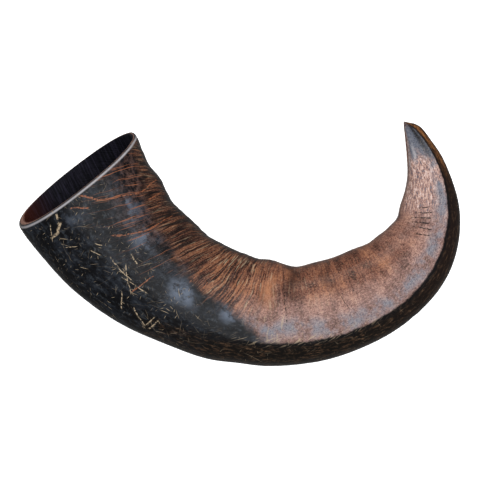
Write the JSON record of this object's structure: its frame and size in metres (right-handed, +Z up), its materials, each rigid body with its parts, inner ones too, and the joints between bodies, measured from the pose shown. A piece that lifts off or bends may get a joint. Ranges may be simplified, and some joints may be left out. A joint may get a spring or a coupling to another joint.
{
  "type": "buffalo horn",
  "caption": "Hollow water buffalo horn, sawn off at the skull end and curling through half a turn to a point. It lies on its flank as an ornament or a blank for carving.",
  "frame": {"origin": "on the surface that the horn lies on, under the centre of its box", "axes": "+Z up, square to the plane that the horn curls in; +X the way the horn leaves its sawn mouth; +Y towards the inside of the curl, where the tip is"},
  "size_m": [0.2246, 0.2576, 0.0669],
  "materials": {
    "horn": "satin"
  },
  "bodies": {
    "root": {"horn": "horn"}
  },
  "joints": []
}
